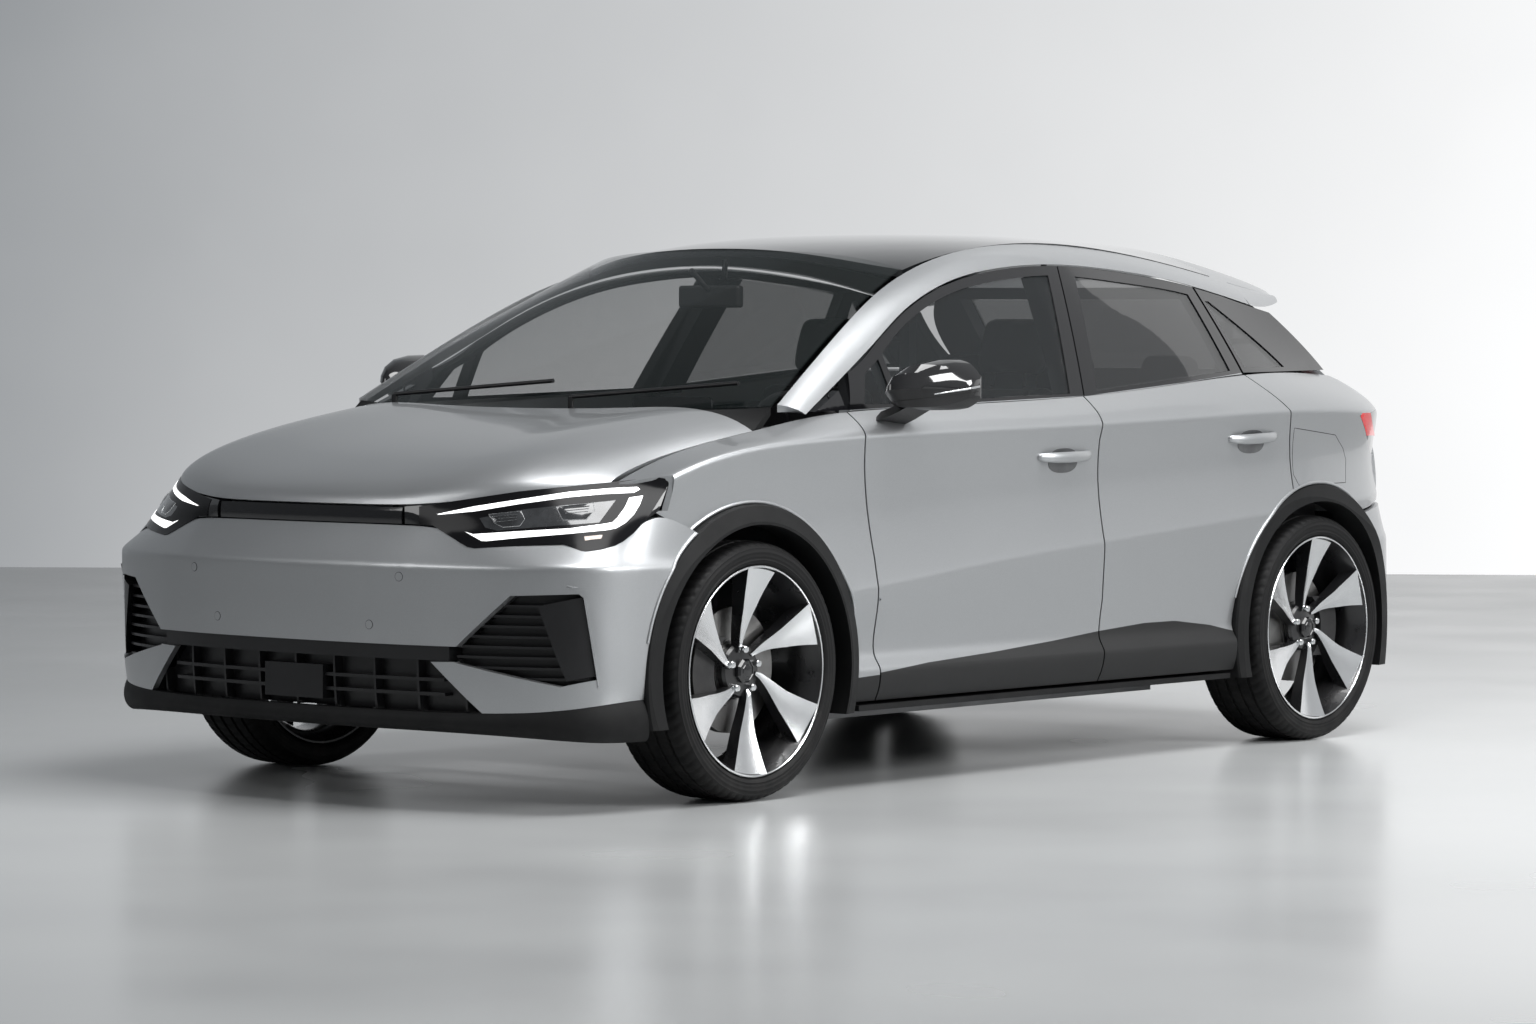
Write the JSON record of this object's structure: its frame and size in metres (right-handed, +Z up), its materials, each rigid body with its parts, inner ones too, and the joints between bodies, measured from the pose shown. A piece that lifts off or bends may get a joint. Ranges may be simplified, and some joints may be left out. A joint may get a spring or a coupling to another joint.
{
  "type": "hatchback car",
  "caption": "Compact electric hatchback car with opening doors, bonnet and tailgate, steered front wheels and a hollow cabin.",
  "frame": {"origin": "on the ground under the middle of the car's overall box", "axes": "+X towards the nose, +Y towards the car's left side, +Z up"},
  "size_m": [4.3626, 2.152, 1.5613],
  "materials": {
    "body_paint": "silver metallic, clear coated",
    "gloss_black": "gloss black",
    "dark_cladding": "fine grained, matte",
    "lamp_lens": "clear over a black bezel",
    "tail_lens": "dark red, gloss",
    "window_glass": "light tint",
    "privacy_glass": "dark tint",
    "tyre": "black rubber",
    "alloy": "machined faces, black pockets",
    "disc_iron": "turned faces",
    "running_gear": "coated",
    "structure": "primed steel",
    "battery_tray": "as cast",
    "cabin_trim": "soft grained",
    "upholstery": "woven, dark",
    "mirror_glass": "silvered"
  },
  "bodies": {
    "body": {"roof_rails": "body_paint", "windscreen": "window_glass", "roof_panel": "gloss_black", "scuttle": "dark_cladding", "front_bumper": "body_paint", "front_skirt": "dark_cladding", "front_grilles": "dark_cladding", "nose_bar": "gloss_black", "headlamps": "lamp_lens", "front_wings": "body_paint", "rear_wings": "body_paint", "tail_lamps": "tail_lens", "rear_bumper": "body_paint", "rear_skirt": "dark_cladding", "quarter_panels": "gloss_black", "quarter_glass": "privacy_glass", "arch_cladding": "dark_cladding", "front_subframe": "running_gear", "rear_axle": "running_gear", "floor": "structure", "sills": "dark_cladding", "battery_case": "battery_tray", "front_structure": "structure", "rear_structure": "structure", "drive_unit": "battery_tray", "centre_pillars": "gloss_black", "front_seats": "upholstery", "rear_bench": "upholstery", "dashboard": "cabin_trim", "interior_mirror": "mirror_glass", "wipers": "dark_cladding"},
    "bonnet": {"bonnet": "body_paint"},
    "tailgate": {"tailgate": "body_paint", "tailgate_glass": "privacy_glass"},
    "steering_wheel": {"steering_wheel": "cabin_trim"},
    "front_door_left": {"front_door_left": "body_paint", "front_door_glass_left": "window_glass", "door_mirror_left": "gloss_black"},
    "rear_door_left": {"rear_door_left": "body_paint", "rear_door_glass_left": "privacy_glass"},
    "front_knuckle_left": {"front_knuckle_left": "running_gear"},
    "wheel_front_left": {"front_tyre_left": "tyre", "front_rim_left": "alloy", "front_brake_disc_left": "disc_iron"},
    "wheel_rear_left": {"rear_tyre_left": "tyre", "rear_rim_left": "alloy", "rear_brake_disc_left": "disc_iron"},
    "front_door_right": {"front_door_right": "body_paint", "front_door_glass_right": "window_glass", "door_mirror_right": "gloss_black"},
    "rear_door_right": {"rear_door_right": "body_paint", "rear_door_glass_right": "privacy_glass"},
    "front_knuckle_right": {"front_knuckle_right": "running_gear"},
    "wheel_front_right": {"front_tyre_right": "tyre", "front_rim_right": "alloy", "front_brake_disc_right": "disc_iron"},
    "wheel_rear_right": {"rear_tyre_right": "tyre", "rear_rim_right": "alloy", "rear_brake_disc_right": "disc_iron"}
  },
  "joints": [
    {"name": "front_door_left_hinge", "type": "hinge", "parent": "body", "child": "front_door_left", "pos_m": [0.88, 0.93, 0.6], "axis": [0, 0, -1], "range_deg": [0, 68]},
    {"name": "rear_door_left_hinge", "type": "hinge", "parent": "body", "child": "rear_door_left", "pos_m": [-0.232, 0.932, 0.6], "axis": [0, 0, -1], "range_deg": [0, 70]},
    {"name": "front_door_right_hinge", "type": "hinge", "parent": "body", "child": "front_door_right", "pos_m": [0.88, -0.93, 0.6], "axis": [0, 0, 1], "range_deg": [0, 68]},
    {"name": "rear_door_right_hinge", "type": "hinge", "parent": "body", "child": "rear_door_right", "pos_m": [-0.232, -0.932, 0.6], "axis": [0, 0, 1], "range_deg": [0, 70]},
    {"name": "tailgate_hinge", "type": "hinge", "parent": "body", "child": "tailgate", "pos_m": [-1.263, 0, 1.556], "axis": [0, 1, 0], "range_deg": [0, 75]},
    {"name": "bonnet_hinge", "type": "hinge", "parent": "body", "child": "bonnet", "pos_m": [1.205, 0, 1.056], "axis": [0, -1, 0], "range_deg": [0, 55]},
    {"name": "steer_left", "type": "hinge", "parent": "body", "child": "front_knuckle_left", "pos_m": [1.34, 0.7835, 0.215], "axis": [0, -0.1421, 0.9898], "range_deg": [-35, 35]},
    {"name": "steer_right", "type": "hinge", "parent": "body", "child": "front_knuckle_right", "pos_m": [1.34, -0.7835, 0.215], "axis": [0, 0.1421, 0.9898], "range_deg": [-35, 35]},
    {"name": "front_wheel_left_spin", "type": "hinge", "parent": "front_knuckle_left", "child": "wheel_front_left", "pos_m": [1.34, 0.8075, 0.35], "axis": [0, 1, 0], "continuous": true},
    {"name": "front_wheel_right_spin", "type": "hinge", "parent": "front_knuckle_right", "child": "wheel_front_right", "pos_m": [1.34, -0.8075, 0.35], "axis": [0, 1, 0], "continuous": true},
    {"name": "rear_wheel_left_spin", "type": "hinge", "parent": "body", "child": "wheel_rear_left", "pos_m": [-1.41, 0.8075, 0.35], "axis": [0, 1, 0], "continuous": true},
    {"name": "rear_wheel_right_spin", "type": "hinge", "parent": "body", "child": "wheel_rear_right", "pos_m": [-1.41, -0.8075, 0.35], "axis": [0, 1, 0], "continuous": true},
    {"name": "steering_wheel_turn", "type": "hinge", "parent": "body", "child": "steering_wheel", "pos_m": [0.448, 0.36, 0.905], "axis": [-0.9272, 0, 0.3746], "range_deg": [-508, 508]}
  ],
  "couplings": [
    {"joint": "steer_right", "follows": "steer_left", "ratio": 1},
    {"joint": "steering_wheel_turn", "follows": "steer_left", "ratio": 14.5}
  ]
}
